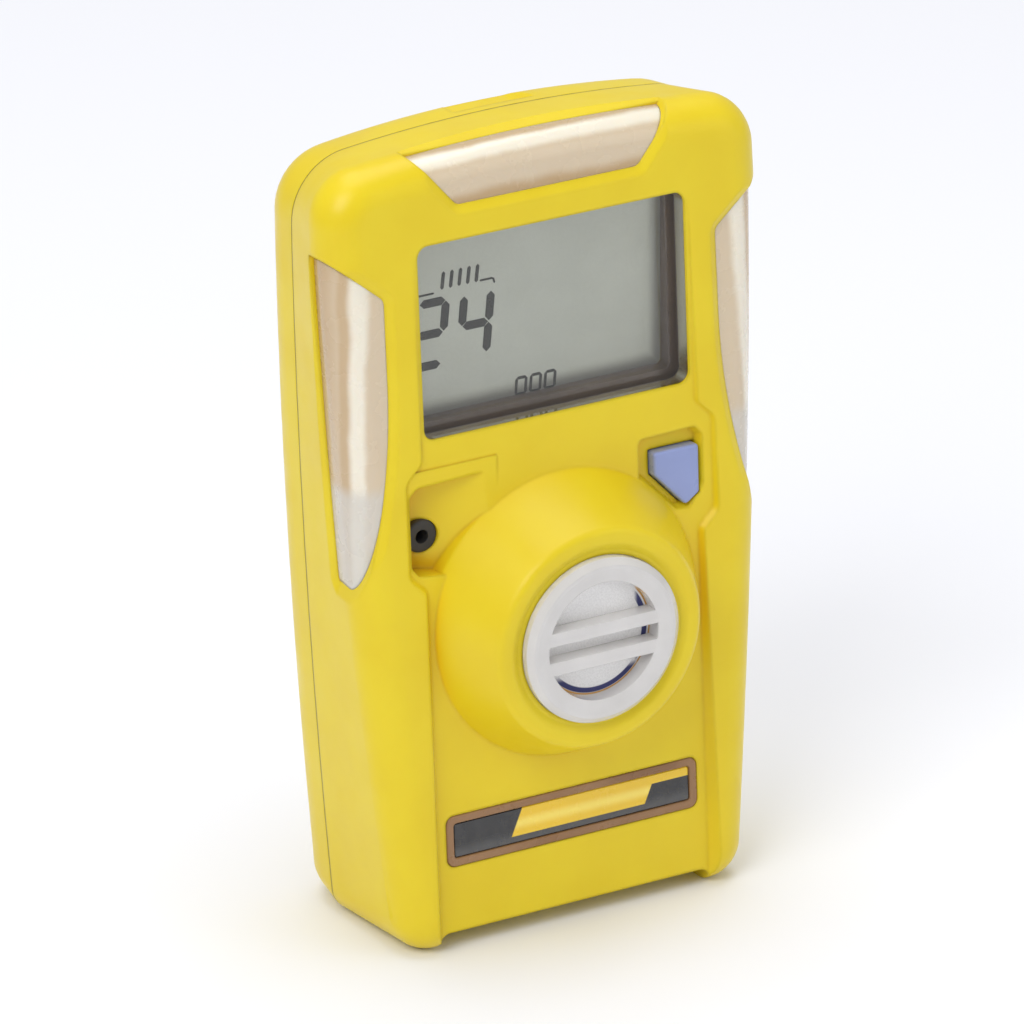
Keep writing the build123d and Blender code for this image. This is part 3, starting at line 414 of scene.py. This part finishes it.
SEGMENTS = {"a": ((0, 1), (1, 1)), "b": ((1, 0.5), (1, 1)), "c": ((1, 0), (1, 0.5)), "d": ((0, 0), (1, 0)),
            "e": ((0, 0), (0, 0.5)), "f": ((0, 0.5), (0, 1)), "g": ((0, 0.5), (1, 0.5))}
DIGITS = {"2": "abged", "4": "fgbc"}


def digit(bm, text, x, z, width, height, y):
    """Slanted seven-segment figure with its lower left corner at (x, z)."""
    for key in DIGITS[text]:
        ends = [(x + px * width + pz * height * 0.1, z + pz * height) for px, pz in SEGMENTS[key]]
        middle = (Vector(ends[0]) + Vector(ends[1])) / 2
        shorter = [tuple(middle + (Vector(p) - middle) * 0.95) for p in ends]
        stroke(bm, *shorter, 0.95, y)


segment_ink = plastic("segment_ink", (0.014, 0.016, 0.015), (0.022, 0.024, 0.022), 0.4)
LCD_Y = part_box("lcd_glass")[0][1] / MM - 0.01
figures = new_piece("display_figures", segment_ink.material)
bm = bmesh.new()
digit(bm, "2", -14.4, 63.0, 3.2, 6.9, LCD_Y)
digit(bm, "4", -9.0, 63.1, 3.2, 6.8, LCD_Y)
# plain marks: a bracketed row of bars above the figures, small frames below
BRACKETS = [((-14.6, 70.9), (-11.9, 70.9)), ((-6.5, 71.2), (-4.9, 71.2)), ((-4.9, 71.25), (-4.7, 70.6))]
for low, high in BRACKETS:
    stroke(bm, low, high, 0.22, LCD_Y)
for k in range(5):
    stroke(bm, (-11.0 + k * 1.02, 71.1), (-10.75 + k * 1.02, 73.1), 0.4, LCD_Y)
for k in range(3):
    x, z = -2.3 + k * 1.75, 57.6
    corners = [(x, z), (x + 1.15, z), (x + 1.3, z + 1.8), (x + 0.15, z + 1.8)]
    for a, b in zip(corners, corners[1:] + corners[:1]):
        stroke(bm, a, b, 0.32, LCD_Y)
finish_piece(figures, bm)

# ---------------------------------------------------------------- spring copied into its own piece, original hidden
spring_piece = bpy.data.objects.new("spring_visual", NODES["clip_spring"].data.copy())
bpy.context.scene.collection.objects.link(spring_piece)
for slot in spring_piece.material_slots:
    slot.material = spring.material
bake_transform(spring_piece)
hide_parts("clip_spring")

# ---------------------------------------------------------------- floor, light, camera
floor_mesh = bpy.data.meshes.new("floor")
floor_mesh.from_pydata([(-3, -3, 0), (3, -3, 0), (3, 3, 0), (-3, 3, 0)], [], [(0, 1, 2, 3)])
floor = bpy.data.objects.new("floor", floor_mesh)
bpy.context.scene.collection.objects.link(floor)
ground = Shader("floor_white")
ground.set(color=(0.93, 0.94, 0.99), rough=0.7, spec=0.1)
floor_mesh.materials.append(ground.material)

world = bpy.data.worlds.new("studio")
bpy.context.scene.world = world
world.use_nodes = True
world.node_tree.nodes["Background"].inputs["Color"].default_value = (1, 1, 1, 1)
world.node_tree.nodes["Background"].inputs["Strength"].default_value = 0.5


def area_light(name, place, aim, size, power, color=(1, 1, 1)):
    data = bpy.data.lights.new(name, "AREA")
    data.shape = "RECTANGLE"
    data.size, data.size_y = size
    data.energy = power
    data.color = color
    lamp = bpy.data.objects.new(name, data)
    bpy.context.scene.collection.objects.link(lamp)
    lamp.location = place
    lamp.rotation_euler = (Vector(aim) - Vector(place)).to_track_quat("-Z", "Y").to_euler()
    return lamp


CENTRE = (0, 0, 0.045)
area_light("key", (-0.55, -0.35, 0.65), CENTRE, (0.45, 0.45), 3.0)
area_light("fill", (0.5, -0.6, 0.3), CENTRE, (0.4, 0.5), 0.6)
area_light("top", (0.05, 0.1, 0.8), CENTRE, (0.6, 0.6), 2.9)

AZ, EL, ROLL = math.radians(-29.963), math.radians(22.581), math.radians(0.541)
AIM = Vector((0, 0.0005, 0.0435))
back = Vector((math.sin(AZ) * math.cos(EL), -math.cos(AZ) * math.cos(EL), math.sin(EL)))
right = Vector((math.cos(AZ), math.sin(AZ), 0))
up = back.cross(right)
cam_right = right * math.cos(ROLL) - up * math.sin(ROLL)
cam_up = right * math.sin(ROLL) + up * math.cos(ROLL)
camera_data = bpy.data.cameras.new("camera")
camera = bpy.data.objects.new("camera", camera_data)
bpy.context.scene.collection.objects.link(camera)
camera.matrix_world = Matrix.Translation(AIM + back) @ Matrix((cam_right, cam_up, back)).transposed().to_4x4()
camera_data.sensor_width = 36
camera_data.lens = 36 * 9487.86 / 1024
camera_data.shift_x = 8.39 / 1024
camera_data.shift_y = -17.845 / 1024
camera_data.clip_start, camera_data.clip_end = 0.05, 20
bpy.context.scene.camera = camera
bpy.context.scene.view_settings.view_transform = "Standard"
